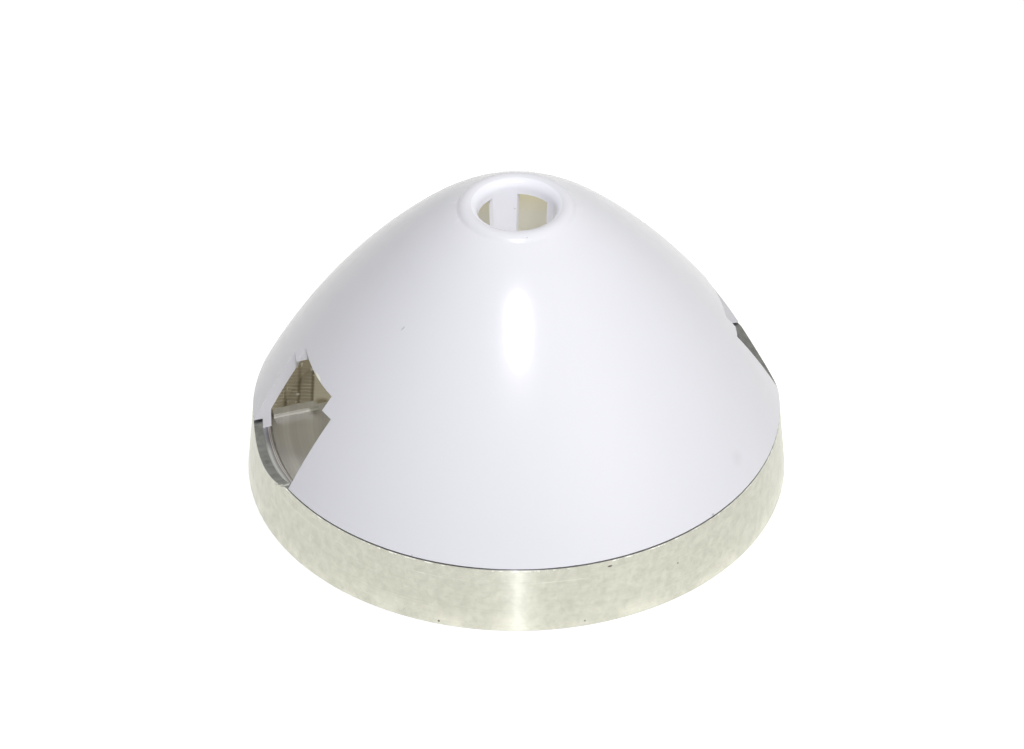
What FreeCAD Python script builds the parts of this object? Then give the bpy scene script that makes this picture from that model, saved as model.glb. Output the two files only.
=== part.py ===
"""Two-blade propeller spinner, base diameter 100 mm.

A white moulded cone with an air inlet in its nose seats by a tongue in the rabbet of a turned
and milled aluminium back plate.  One screw, reached through the inlet, holds the cone.

Frame: origin at the middle of the back plate's rear face, +Z to the nose, +X along the
propeller blades.  Lengths in millimetres.
"""
import FreeCAD, Part

import math
import os

import Sketcher

DOC = FreeCAD.newDocument("propeller_spinner")

# ---------------------------------------------------------------- driving dimensions
# alias: (value, what it is)
DRIVING = {
    # back plate
    "base_radius": (50.0, "back plate, rear edge"),
    "ring_top_radius": (48.8, "back plate, front edge; the cone starts flush with it"),
    "ring_height": (13.2, "rear face to the front edge of the lip"),
    "lip_wall": (1.6, "lip outside the rabbet"),
    "rabbet_depth": (1.8, "lip edge down to the shelf that the cone sits on"),
    "shelf_width": (1.3, "flat of the shelf"),
    "shelf_chamfer": (0.6, "inner edge of the shelf"),
    "floor_thickness": (4.0, "rear wall of the plate, at the pockets"),
    "rear_chamfer": (0.3, "outer edge of the rear face"),
    "bore_radius": (5.0, "hole for the engine's shaft"),
    "bore_chamfer": (0.5, "both ends of the bore"),
    "bridge_height": (10.0, "rear face to the propeller's seat"),
    "channel_width": (28.0, "between the rails that the propeller hub sits in"),
    "rail_width": (1.8, "one rail"),
    "rail_height": (1.0, "rail above the seat"),
    "rail_inner_end": (34.1, "axis to the inner end of a rail"),
    "rail_gap": (0.5, "rail's outer end to the cone's tongue"),
    "rail_round": (0.9, "outer corner of a rail's inner end"),
    "scallop_width": (19.8, "blade scallop at the lip's edge"),
    "scallop_depth": (2.1, "blade scallop below the lip's edge"),
    # cone
    "joint_gap": (0.35, "lip's edge to the cone's outer edge"),
    "tongue_clearance": (0.1, "tongue to the lip, radial"),
    "tongue_thickness": (1.6, "tongue and rim, radial"),
    "cone_wall": (2.1, "shell"),
    "shoulder_radius": (20.7, "where the flank's arc meets the nose's arc"),
    "shoulder_height": (51.0, "rear face to that place"),
    "flank_arc": (132.0, "flank, seen from the side"),
    "nose_arc": (52.0, "upper part, seen from the side"),
    "throat_radius": (7.1, "inlet at its narrowest"),
    "bead_radius": (2.0, "rounded rim of the inlet, its section"),
    "bead_height": (57.05, "rear face to the middle of that section"),
    "bead_outer_radius": (10.75, "where the rim meets the cone"),
    "bead_blend": (0.8, "soft valley round the rim"),
    "sleeve_wall": (0.8, "tube below the inlet"),
    "sleeve_foot_radius": (6.0, "inside of the tube at the screw's seat; it widens to the inlet"),
    "cage_floor_height": (34.0, "rear face to the screw's seat in the tube"),
    "cage_floor_thickness": (3.0, "end wall of the tube"),
    "window_width": (6.1, "air window in the tube"),
    "window_overrun": (0.1, "window's cut past the tube's outer side"),
    "window_drop": (0.95, "middle of the rim's section to the windows' upper ends"),
    "window_sill": (2.0, "screw's seat to the windows' lower ends"),
    # blade openings in the cone
    "opening_width": (21.5, "blade opening, lower part"),
    "opening_step_height": (27.5, "rear face to the steps in its sides"),
    "opening_top_width": (15.4, "blade opening above the steps"),
    "opening_top_height": (30.2, "rear face to its upper edge"),
    "opening_shift": (-0.4, "middle of the openings and scallops, along Y"),
    # retaining screw and washer
    "screw_radius": (2.5, "M5 shank"),
    "screw_clearance": (0.25, "screw to the cone's hole, radial"),
    "screw_length": (16.0, "under the head"),
    "head_radius": (4.25, "socket head"),
    "head_height": (5.0, "socket head"),
    "socket_width": (4.0, "hexagon, across flats"),
    "socket_depth": (2.6, "hexagon"),
    "head_chamfer": (0.5, "upper edge of the head"),
    "tip_chamfer": (0.6, "end of the shank"),
    "washer_outer_radius": (5.0, "flat washer"),
    "washer_clearance": (0.15, "washer's hole to the shank, radial"),
    "washer_thickness": (1.0, "flat washer"),
}

# ---------------------------------------------------------------- what follows from them
DERIVED = {
    "lip_inner_radius": "=ring_top_radius - lip_wall",
    "shelf_height": "=ring_height - rabbet_depth",
    "shelf_inner_radius": "=lip_inner_radius - shelf_width",
    "ring_inner_radius": "=shelf_inner_radius - shelf_chamfer",
    "chamfer_height": "=shelf_height - shelf_chamfer",
    "rear_edge_radius": "=base_radius - rear_chamfer",
    "bridge_end_radius": "=(ring_inner_radius + lip_inner_radius) / 2",
    "channel_side": "=channel_width / 2",
    "bridge_side": "=channel_side + rail_width",
    "tongue_outer_radius": "=lip_inner_radius - tongue_clearance",
    "tongue_inner_radius": "=tongue_outer_radius - tongue_thickness",
    "rail_outer_radius": "=tongue_inner_radius - rail_gap",
    "scallop_half": "=scallop_width / 2",
    "scallop_radius": "=(scallop_half ^ 2 + scallop_depth ^ 2) / (2 * scallop_depth)",
    "scallop_centre": "=ring_height - scallop_depth + scallop_radius",
    "cone_edge_height": "=ring_height + joint_gap",
    "inner_flank_arc": "=flank_arc - cone_wall",
    "inner_nose_arc": "=nose_arc - cone_wall",
    "bead_centre_radius": "=throat_radius + bead_radius",
    "sleeve_outer_radius": "=throat_radius + sleeve_wall",
    "sleeve_foot_outer_radius": "=sleeve_foot_radius + sleeve_wall",
    "cage_bottom": "=cage_floor_height - cage_floor_thickness",
    "screw_hole_radius": "=screw_radius + screw_clearance",
    "window_side": "=window_width / 2",
    "window_bottom": "=cage_floor_height + window_sill",
    "window_length": "=bead_height - window_drop - window_bottom",
    "window_reach": "=sleeve_outer_radius + window_overrun",
    "opening_foot": "=shelf_height - rabbet_depth",
    "opening_low_side": "=opening_shift - opening_width / 2",
    "opening_high_side": "=opening_shift + opening_width / 2",
    "opening_top_low_side": "=opening_shift - opening_top_width / 2",
    "opening_top_high_side": "=opening_shift + opening_top_width / 2",
    "head_seat": "=cage_floor_height + washer_thickness",
    "head_top": "=head_seat + head_height",
    "screw_tip": "=head_seat - screw_length",
    "tip_chamfer_height": "=screw_tip + tip_chamfer",
    "tip_radius": "=screw_radius - tip_chamfer",
    "head_chamfer_height": "=head_top - head_chamfer",
    "head_chamfer_radius": "=head_radius - head_chamfer",
    "socket_corner": "=socket_width / 2 / cos(30)",
    "washer_hole_radius": "=screw_radius + washer_clearance",
}


def make_sheet():
    """The sheet 'sizes': driving values as plain numbers, then what follows from them."""
    sheet = DOC.addObject("Spreadsheet::Sheet", "sizes")
    row = 1
    for alias, (value, meaning) in DRIVING.items():
        sheet.set("A%d" % row, alias)
        sheet.set("B%d" % row, str(value))
        sheet.set("C%d" % row, meaning)
        sheet.setAlias("B%d" % row, alias)
        row += 1
    for alias, formula in DERIVED.items():
        sheet.set("A%d" % row, alias)
        sheet.set("B%d" % row, formula)
        sheet.setAlias("B%d" % row, alias)
        row += 1
    DOC.recompute()
    return sheet


SHEET = make_sheet()


def size(alias):
    """A sheet value as a number; a leading minus turns it round."""
    if alias == "zero":
        return 0.0
    if alias.startswith("-"):
        return -float(SHEET.get(alias[1:]))
    return float(SHEET.get(alias))


def bound(alias):
    """The expression that reads a sheet value."""
    if alias.startswith("-"):
        return "-<<sizes>>." + alias[1:]
    return "<<sizes>>." + alias


# ---------------------------------------------------------------- sketch helpers
LENGTH_TOLERANCE = 1e-6
VOLUME_TOLERANCE = 1e-3


def new_body(name):
    body = DOC.addObject("PartDesign::Body", name)
    body.Label = name
    return body


def origin_plane(body, role):
    for feature in body.Origin.OriginFeatures:
        if feature.Role == role:
            return feature
    raise ValueError(role)


def new_sketch(body, name, role, lift=None):
    """A sketch on one of the body's own origin planes, raised by a sheet value."""
    sketch = body.newObject("Sketcher::SketchObject", name)
    sketch.AttachmentSupport = (origin_plane(body, role), [""])
    sketch.MapMode = "FlatFace"
    if lift:
        sketch.setExpression("AttachmentOffset.Base.z", bound(lift))
    return sketch


def pin(sketch, geo, pos, place, axes="xy"):
    """Hold one point of a sketch at sheet values; None leaves that direction free."""
    for axis, kind, line, alias in (("x", "DistanceX", -2, place[0]), ("y", "DistanceY", -1, place[1])):
        if axis not in axes or alias is None:
            continue
        if alias == "zero":
            sketch.addConstraint(Sketcher.Constraint("PointOnObject", geo, pos, line))
            continue
        index = sketch.addConstraint(Sketcher.Constraint(kind, -1, 1, geo, pos, size(alias)))
        sketch.setExpression("Constraints[%d]" % index, bound(alias))


def radius_of(sketch, geo, alias):
    index = sketch.addConstraint(Sketcher.Constraint("Radius", geo, size(alias)))
    sketch.setExpression("Constraints[%d]" % index, bound(alias))


def vector(x, y):
    return FreeCAD.Vector(x, y, 0)


def arc_centre(start, end, radius):
    """Centre of the arc that turns left from start to end."""
    middle = (start + end) * 0.5
    half = (end - start).Length / 2
    across = (end - start).normalize()
    left = vector(-across.y, across.x)
    return middle + left * math.sqrt(radius ** 2 - half ** 2)


def left_arc(start, end, radius):
    centre = arc_centre(start, end, radius)
    circle = Part.Circle(centre, FreeCAD.Vector(0, 0, 1), radius)
    first = math.atan2(start.y - centre.y, start.x - centre.x)
    last = math.atan2(end.y - centre.y, end.x - centre.x)
    return Part.ArcOfCircle(circle, first, last)


def add_polygon(sketch, places):
    """A closed outline of straight lines through named places."""
    corners = [vector(size(x), size(y)) for x, y in places]
    first = sketch.GeometryCount
    count = len(corners)
    for index, corner in enumerate(corners):
        sketch.addGeometry(Part.LineSegment(corner, corners[(index + 1) % count]), False)
    for index in range(count):
        following = first + (index + 1) % count
        sketch.addConstraint(Sketcher.Constraint("Coincident", first + index, 2, following, 1))
        pin(sketch, first + index, 1, places[index])


def revolve(body, sketch, name):
    feature = body.newObject("PartDesign::Revolution", name)
    feature.Profile = sketch
    feature.ReferenceAxis = (sketch, ["V_Axis"])
    feature.Angle = 360.0
    DOC.recompute()
    return feature


def cut_through(body, sketch, name, both_ways=False, reverse=False):
    """A pocket through everything, checked to have taken something away."""
    before = body.Shape.Volume
    feature = body.newObject("PartDesign::Pocket", name)
    feature.Profile = sketch
    feature.Type = "ThroughAll"
    feature.Midplane = both_ways
    feature.Reversed = reverse
    DOC.recompute()
    if body.Shape.Volume > before - VOLUME_TOLERANCE:
        raise RuntimeError(name + " cuts nothing")
    return feature


def pad_on(body, sketch, name, alias):
    before = body.Shape.Volume
    feature = body.newObject("PartDesign::Pad", name)
    feature.Profile = sketch
    feature.setExpression("Length", bound(alias))
    DOC.recompute()
    if body.Shape.Volume < before + VOLUME_TOLERANCE:
        raise RuntimeError(name + " adds nothing")
    return feature


def round_edges(body, base, name, alias, wanted):
    """Fillet the edges of the last feature that the test picks."""
    names = ["Edge%d" % (i + 1) for i, edge in enumerate(base.Shape.Edges) if wanted(edge)]
    if not names:
        raise RuntimeError(name + " finds no edge")
    feature = body.newObject("PartDesign::Fillet", name)
    feature.Base = (base, names)
    feature.setExpression("Radius", bound(alias))
    DOC.recompute()
    return feature


# ---------------------------------------------------------------- back plate
def make_back_plate():
    """Turned from bar: ring, lip, rabbet and floor; then the seat, rails and scallops milled."""
    body = new_body("back_plate")
    turned = new_sketch(body, "plate_section", "XZ_Plane")
    add_polygon(turned, [
        ("bore_radius", "zero"),
        ("rear_edge_radius", "zero"),
        ("base_radius", "rear_chamfer"),
        ("ring_top_radius", "ring_height"),
        ("lip_inner_radius", "ring_height"),
        ("lip_inner_radius", "shelf_height"),
        ("shelf_inner_radius", "shelf_height"),
        ("ring_inner_radius", "chamfer_height"),
        ("ring_inner_radius", "floor_thickness"),
        ("bore_radius", "floor_thickness"),
    ])
    revolve(body, turned, "plate_turned")

    seat = new_sketch(body, "bridge_outline", "XY_Plane")
    add_bridge_outline(seat)
    pad_on(body, seat, "bridge", "bridge_height")

    rails = new_sketch(body, "rail_outlines", "XY_Plane", "bridge_height")
    for x_sign in ("", "-"):
        for y_sign in ("", "-"):
            add_rail_outline(rails, x_sign, y_sign)
    raised = pad_on(body, rails, "rails", "rail_height")

    inner_end, side = size("rail_inner_end"), size("bridge_side")

    def rail_corner(edge):
        box = edge.BoundBox
        upright = box.XLength < LENGTH_TOLERANCE and box.YLength < LENGTH_TOLERANCE
        at_end = abs(abs(box.XMin) - inner_end) < LENGTH_TOLERANCE
        return upright and at_end and abs(abs(box.YMin) - side) < LENGTH_TOLERANCE
    round_edges(body, raised, "rail_rounds", "rail_round", rail_corner)

    scallop = new_sketch(body, "scallop_outline", "YZ_Plane")
    centre = vector(size("opening_shift"), size("scallop_centre"))
    circle = Part.Circle(centre, FreeCAD.Vector(0, 0, 1), size("scallop_radius"))
    scallop.addGeometry(circle, False)
    pin(scallop, 0, 3, ("opening_shift", "scallop_centre"))
    radius_of(scallop, 0, "scallop_radius")
    cut_through(body, scallop, "scallops", both_ways=True)

    bore = new_sketch(body, "bore_outline", "XY_Plane")
    bore.addGeometry(Part.Circle(vector(0, 0), FreeCAD.Vector(0, 0, 1), size("bore_radius")), False)
    bore.addConstraint(Sketcher.Constraint("Coincident", 0, 3, -1, 1))
    radius_of(bore, 0, "bore_radius")
    bored = cut_through(body, bore, "bore", reverse=True)

    bore_radius = size("bore_radius")
    levels = (0.0, size("bridge_height"))

    def bore_end(edge):
        curve = edge.Curve
        if not isinstance(curve, Part.Circle) or abs(curve.Radius - bore_radius) > LENGTH_TOLERANCE:
            return False
        return any(abs(curve.Center.z - level) < LENGTH_TOLERANCE for level in levels)
    names = ["Edge%d" % (i + 1) for i, edge in enumerate(bored.Shape.Edges) if bore_end(edge)]
    broken = body.newObject("PartDesign::Chamfer", "bore_edges")
    broken.Base = (bored, names)
    broken.setExpression("Size", bound("bore_chamfer"))
    DOC.recompute()
    return body


def add_bridge_outline(sketch):
    """The seat: a bar across the floor whose ends run into the ring."""
    radius = size("bridge_end_radius")
    side = size("bridge_side")
    reach = math.sqrt(radius ** 2 - side ** 2)
    right_low, right_high = vector(reach, -side), vector(reach, side)
    left_high, left_low = vector(-reach, side), vector(-reach, -side)
    sketch.addGeometry(left_arc(right_low, right_high, radius), False)
    sketch.addGeometry(Part.LineSegment(right_high, left_high), False)
    sketch.addGeometry(left_arc(left_high, left_low, radius), False)
    sketch.addGeometry(Part.LineSegment(left_low, right_low), False)
    for arc in (0, 2):
        sketch.addConstraint(Sketcher.Constraint("Coincident", arc, 3, -1, 1))
        radius_of(sketch, arc, "bridge_end_radius")
    for geo, pos, other, other_pos in ((0, 2, 1, 1), (1, 2, 2, 1), (2, 2, 3, 1), (3, 2, 0, 1)):
        sketch.addConstraint(Sketcher.Constraint("Coincident", geo, pos, other, other_pos))
    for geo, pos, alias in ((1, 1, "bridge_side"), (1, 2, "bridge_side"), (3, 1, "-bridge_side"),
                            (3, 2, "-bridge_side")):
        pin(sketch, geo, pos, (None, alias))


def add_rail_outline(sketch, x_sign, y_sign):
    """One rail: straight sides, square inner end, outer end curved like the cone's tongue."""
    turn_x = -1 if x_sign else 1
    turn_y = -1 if y_sign else 1
    near = size("channel_side")
    far = size("bridge_side")
    start = size("rail_inner_end")
    radius = size("rail_outer_radius")

    def place(x, y):
        return vector(turn_x * x, turn_y * y)
    inner_near, inner_far = place(start, near), place(start, far)
    outer_near = place(math.sqrt(radius ** 2 - near ** 2), near)
    outer_far = place(math.sqrt(radius ** 2 - far ** 2), far)
    first = sketch.GeometryCount
    sketch.addGeometry(Part.LineSegment(inner_far, inner_near), False)
    sketch.addGeometry(Part.LineSegment(inner_near, outer_near), False)
    left_turn = turn_x * turn_y > 0
    arc_ends = (outer_near, outer_far) if left_turn else (outer_far, outer_near)
    sketch.addGeometry(left_arc(arc_ends[0], arc_ends[1], radius), False)
    sketch.addGeometry(Part.LineSegment(outer_far, inner_far), False)
    arc_near, arc_far = (1, 2) if left_turn else (2, 1)
    sketch.addConstraint(Sketcher.Constraint("Coincident", first, 2, first + 1, 1))
    sketch.addConstraint(Sketcher.Constraint("Coincident", first + 1, 2, first + 2, arc_near))
    sketch.addConstraint(Sketcher.Constraint("Coincident", first + 2, arc_far, first + 3, 1))
    sketch.addConstraint(Sketcher.Constraint("Coincident", first + 3, 2, first, 1))
    sketch.addConstraint(Sketcher.Constraint("Coincident", first + 2, 3, -1, 1))
    radius_of(sketch, first + 2, "rail_outer_radius")
    pin(sketch, first, 1, (x_sign + "rail_inner_end", y_sign + "bridge_side"))
    pin(sketch, first, 2, (x_sign + "rail_inner_end", y_sign + "channel_side"))
    pin(sketch, first + 1, 2, (None, y_sign + "channel_side"))
    pin(sketch, first + 3, 1, (None, y_sign + "bridge_side"))


# ---------------------------------------------------------------- cone
def make_cone():
    """One moulding: shell, rim with its tongue, rolled inlet and the windowed tube below it."""
    body = new_body("spinner_cone")
    section = new_sketch(body, "cone_section", "XZ_Plane")
    add_cone_section(section)
    shell = revolve(body, section, "cone_moulded")

    bead_outer = size("bead_outer_radius")
    valley = min(
        (edge for edge in shell.Shape.Edges
         if isinstance(edge.Curve, Part.Circle) and edge.Curve.Center.z > size("bead_height")),
        key=lambda edge: abs(edge.Curve.Radius - bead_outer)).Curve.Radius

    def in_valley(edge):
        circle = isinstance(edge.Curve, Part.Circle) and abs(edge.Curve.Axis.x) < LENGTH_TOLERANCE
        return circle and abs(edge.Curve.Radius - valley) < LENGTH_TOLERANCE
    round_edges(body, shell, "bead_valley", "bead_blend", in_valley)

    for turn in (45, 135):
        cut_windows(body, turn)
    cut_blade_openings(body)
    return body


def cut_windows(body, turn):
    """Two opposite air windows of the tube."""
    sketch = new_sketch(body, "window_outline_%d" % turn, "XY_Plane", "window_bottom")
    upright = FreeCAD.Vector(0, 0, 1)
    sketch.AttachmentOffset = FreeCAD.Placement(
        FreeCAD.Vector(0, 0, size("window_bottom")), FreeCAD.Rotation(upright, turn))
    add_polygon(sketch, [
        ("-window_reach", "-window_side"),
        ("window_reach", "-window_side"),
        ("window_reach", "window_side"),
        ("-window_reach", "window_side"),
    ])
    before = body.Shape.Volume
    windows = body.newObject("PartDesign::Pocket", "windows_%d" % turn)
    windows.Profile = sketch
    windows.Reversed = True
    windows.setExpression("Length", bound("window_length"))
    DOC.recompute()
    if body.Shape.Volume > before - VOLUME_TOLERANCE:
        raise RuntimeError("windows cut nothing")


def cut_blade_openings(body):
    """Both blade openings: straight sides along X, narrower above the steps, open at the rim."""
    sketch = new_sketch(body, "opening_outline", "YZ_Plane")
    add_polygon(sketch, [
        ("opening_low_side", "opening_foot"),
        ("opening_high_side", "opening_foot"),
        ("opening_high_side", "opening_step_height"),
        ("opening_top_high_side", "opening_step_height"),
        ("opening_top_high_side", "opening_top_height"),
        ("opening_top_low_side", "opening_top_height"),
        ("opening_top_low_side", "opening_step_height"),
        ("opening_low_side", "opening_step_height"),
    ])
    cut_through(body, sketch, "blade_openings", both_ways=True)


def add_cone_section(sketch):
    """Half section: outer flank, nose arc, bead, tube, screw seat, inner side, rim and tongue."""
    flank_foot = vector(size("ring_top_radius"), size("cone_edge_height"))
    shoulder = vector(size("shoulder_radius"), size("shoulder_height"))
    bead_centre = vector(size("bead_centre_radius"), size("bead_height"))
    bead_radius = size("bead_radius")
    bead_outer = size("bead_outer_radius")
    rise = math.sqrt(bead_radius ** 2 - (bead_outer - bead_centre.x) ** 2)
    bead_end = vector(bead_outer, bead_centre.y + rise)
    throat = vector(size("throat_radius"), size("bead_height"))

    flank = left_arc(flank_foot, shoulder, size("flank_arc"))
    nose = left_arc(shoulder, bead_end, size("nose_arc"))
    bead = Part.ArcOfCircle(Part.Circle(bead_centre, FreeCAD.Vector(0, 0, 1), bead_radius),
                            math.atan2(rise, bead_outer - bead_centre.x), math.pi)
    # the inner side keeps the outer arcs' centres; its ends are found on those circles
    rim_radius = size("tongue_inner_radius")
    tube_radius = size("sleeve_outer_radius")
    flank_centre = arc_centre(flank_foot, shoulder, size("flank_arc"))
    nose_centre = arc_centre(shoulder, bead_end, size("nose_arc"))
    inner_flank = size("inner_flank_arc")
    inner_nose = size("inner_nose_arc")
    rim_top = vector(rim_radius, flank_centre.y + math.sqrt(inner_flank ** 2 - (rim_radius - flank_centre.x) ** 2))
    tube_top = vector(tube_radius, nose_centre.y + math.sqrt(inner_nose ** 2 - (tube_radius - nose_centre.x) ** 2))
    towards = (shoulder - flank_centre).normalize()
    inner_shoulder = flank_centre + towards * inner_flank

    tongue_outer, tongue_inner = size("tongue_outer_radius"), rim_radius
    shelf, edge_height = size("shelf_height"), size("cone_edge_height")
    hole = size("screw_hole_radius")
    foot_radius, foot_outer_radius = size("sleeve_foot_radius"), size("sleeve_foot_outer_radius")
    seat, bottom = size("cage_floor_height"), size("cage_bottom")

    def arc_between(centre, radius, start, end):
        first = math.atan2(start.y - centre.y, start.x - centre.x)
        last = math.atan2(end.y - centre.y, end.x - centre.x)
        return Part.ArcOfCircle(Part.Circle(centre, FreeCAD.Vector(0, 0, 1), radius), first, last)

    pieces = [
        flank,                                                                        # 0
        nose,                                                                         # 1
        bead,                                                                         # 2
        Part.LineSegment(throat, vector(foot_radius, seat)),                          # 3
        Part.LineSegment(vector(foot_radius, seat), vector(hole, seat)),              # 4
        Part.LineSegment(vector(hole, seat), vector(hole, bottom)),                   # 5
        Part.LineSegment(vector(hole, bottom), vector(foot_outer_radius, bottom)),    # 6
        Part.LineSegment(vector(foot_outer_radius, bottom), tube_top),                # 7
        arc_between(nose_centre, inner_nose, inner_shoulder, tube_top),               # 8
        arc_between(flank_centre, inner_flank, rim_top, inner_shoulder),              # 9
        Part.LineSegment(rim_top, vector(tongue_inner, shelf)),                       # 10
        Part.LineSegment(vector(tongue_inner, shelf), vector(tongue_outer, shelf)),   # 11
        Part.LineSegment(vector(tongue_outer, shelf), vector(tongue_outer, edge_height)),   # 12
        Part.LineSegment(vector(tongue_outer, edge_height), flank_foot),              # 13
    ]
    for piece in pieces:
        sketch.addGeometry(piece, False)
    joins = [(0, 2, 1, 1), (1, 2, 2, 1), (2, 2, 3, 1), (3, 2, 4, 1), (4, 2, 5, 1), (5, 2, 6, 1), (6, 2, 7, 1),
             (7, 2, 8, 2), (8, 1, 9, 2), (9, 1, 10, 1), (10, 2, 11, 1), (11, 2, 12, 1), (12, 2, 13, 1),
             (13, 2, 0, 1), (0, 3, 9, 3), (1, 3, 8, 3)]
    for geo, pos, other, other_pos in joins:
        sketch.addConstraint(Sketcher.Constraint("Coincident", geo, pos, other, other_pos))
    for geo, alias in ((0, "flank_arc"), (1, "nose_arc"), (2, "bead_radius"), (8, "inner_nose_arc"),
                       (9, "inner_flank_arc")):
        radius_of(sketch, geo, alias)
    pin(sketch, 0, 1, ("ring_top_radius", "cone_edge_height"))
    pin(sketch, 0, 2, ("shoulder_radius", "shoulder_height"))
    pin(sketch, 1, 2, ("bead_outer_radius", None))
    pin(sketch, 2, 3, ("bead_centre_radius", "bead_height"))
    pin(sketch, 3, 1, (None, "bead_height"))
    pin(sketch, 3, 2, ("sleeve_foot_radius", "cage_floor_height"))
    pin(sketch, 4, 2, ("screw_hole_radius", "cage_floor_height"))
    pin(sketch, 5, 2, ("screw_hole_radius", "cage_bottom"))
    pin(sketch, 6, 2, ("sleeve_foot_outer_radius", "cage_bottom"))
    pin(sketch, 7, 2, ("sleeve_outer_radius", None))
    pin(sketch, 10, 1, ("tongue_inner_radius", None))
    pin(sketch, 10, 2, ("tongue_inner_radius", "shelf_height"))
    pin(sketch, 11, 2, ("tongue_outer_radius", "shelf_height"))
    pin(sketch, 12, 2, ("tongue_outer_radius", "cone_edge_height"))


# ---------------------------------------------------------------- fasteners
def make_screw():
    """M5 socket-head cap screw, turned outline with a hexagon socket; the thread is plain."""
    body = new_body("retaining_screw")
    outline = new_sketch(body, "screw_section", "XZ_Plane")
    add_polygon(outline, [
        ("zero", "screw_tip"),
        ("tip_radius", "screw_tip"),
        ("screw_radius", "tip_chamfer_height"),
        ("screw_radius", "head_seat"),
        ("head_radius", "head_seat"),
        ("head_radius", "head_chamfer_height"),
        ("head_chamfer_radius", "head_top"),
        ("zero", "head_top"),
    ])
    revolve(body, outline, "screw_turned")
    socket = new_sketch(body, "socket_outline", "XY_Plane", "head_top")
    corner = size("socket_corner")
    corners = [vector(corner * math.cos(math.radians(60 * i)), corner * math.sin(math.radians(60 * i)))
               for i in range(6)]
    for index in range(6):
        socket.addGeometry(Part.LineSegment(corners[index], corners[(index + 1) % 6]), False)
    circle = Part.Circle(vector(0, 0), FreeCAD.Vector(0, 0, 1), corner)
    socket.addGeometry(circle, True)
    socket.addConstraint(Sketcher.Constraint("Coincident", 6, 3, -1, 1))
    radius_of(socket, 6, "socket_corner")
    for index in range(6):
        following = (index + 1) % 6
        socket.addConstraint(Sketcher.Constraint("Coincident", index, 2, following, 1))
        socket.addConstraint(Sketcher.Constraint("PointOnObject", index, 1, 6))
        if index:
            socket.addConstraint(Sketcher.Constraint("Equal", 0, index))
    socket.addConstraint(Sketcher.Constraint("PointOnObject", 0, 1, -1))
    before = body.Shape.Volume
    pocket = body.newObject("PartDesign::Pocket", "socket")
    pocket.Profile = socket
    pocket.setExpression("Length", bound("socket_depth"))
    DOC.recompute()
    if body.Shape.Volume > before - VOLUME_TOLERANCE:
        raise RuntimeError("socket cuts nothing")
    return body


def make_washer():
    """Flat washer between the screw's head and the seat in the tube."""
    disc = DOC.addObject("Part::Cylinder", "washer_disc")
    disc.setExpression("Radius", bound("washer_outer_radius"))
    disc.setExpression("Height", bound("washer_thickness"))
    hole = DOC.addObject("Part::Cylinder", "washer_hole")
    hole.setExpression("Radius", bound("washer_hole_radius"))
    hole.setExpression("Height", bound("washer_thickness"))
    for cylinder in (disc, hole):
        cylinder.setExpression("Placement.Base.z", bound("cage_floor_height"))
    washer = DOC.addObject("Part::Cut", "screw_washer")
    washer.Base = disc
    washer.Tool = hole
    washer.Label = "screw_washer"
    DOC.recompute()
    return washer


def check_document(nodes):
    for item in DOC.Objects:
        if any(word in item.State for word in ("Invalid", "Error")):
            raise RuntimeError("%s failed: %s" % (item.Name, item.State))
    for node in nodes:
        shape = node.Shape
        if shape.isNull() or not shape.isValid() or len(shape.Solids) != 1:
            raise RuntimeError(node.Label + " is not one valid solid")
        print("%-16s %10.1f mm3  %s" % (node.Label, shape.Volume, shape.BoundBox))


def main():
    nodes = [make_back_plate(), make_cone(), make_screw(), make_washer()]
    DOC.recompute()
    check_document(nodes)
    os.makedirs("parts", exist_ok=True)
    for node in nodes:
        node.Shape.exportStep("parts/%s.step" % node.Label)


main()
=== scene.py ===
import math

import bpy
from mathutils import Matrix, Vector


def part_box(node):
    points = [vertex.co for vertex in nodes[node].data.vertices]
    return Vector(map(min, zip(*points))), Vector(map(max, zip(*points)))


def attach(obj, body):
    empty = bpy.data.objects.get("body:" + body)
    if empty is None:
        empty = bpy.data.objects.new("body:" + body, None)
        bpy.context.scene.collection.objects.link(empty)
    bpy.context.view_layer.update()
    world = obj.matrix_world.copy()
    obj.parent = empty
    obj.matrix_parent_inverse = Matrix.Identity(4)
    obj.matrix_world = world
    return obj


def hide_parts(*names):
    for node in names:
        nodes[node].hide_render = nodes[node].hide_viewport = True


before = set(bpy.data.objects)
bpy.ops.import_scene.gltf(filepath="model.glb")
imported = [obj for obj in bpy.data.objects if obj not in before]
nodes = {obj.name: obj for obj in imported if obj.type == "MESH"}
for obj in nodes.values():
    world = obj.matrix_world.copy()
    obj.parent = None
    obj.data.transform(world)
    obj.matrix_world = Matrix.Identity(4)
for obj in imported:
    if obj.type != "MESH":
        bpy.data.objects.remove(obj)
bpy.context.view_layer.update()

MM = 0.001


# ------------------------------------------------------------------ the view
# A long lens a little above the spinner, turned so that one blade opening is near the
# left edge and the other is seen along the right edge.
VIEW_TURN = math.radians(-18.5)
VIEW_LIFT = math.radians(37.36)
VIEW_DISTANCE = 1107.5 * MM
LENS_LENGTH = 210.94
SENSOR_WIDTH = 36.0
AIM_ASIDE = -0.83 * MM
AIM_HEIGHT = 20.15 * MM

towards_camera = Vector((
    math.sin(VIEW_TURN) * math.cos(VIEW_LIFT),
    -math.cos(VIEW_TURN) * math.cos(VIEW_LIFT),
    math.sin(VIEW_LIFT)))
camera_right = Vector((math.cos(VIEW_TURN), math.sin(VIEW_TURN), 0))
aim = camera_right * AIM_ASIDE + Vector((0, 0, AIM_HEIGHT))

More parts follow.
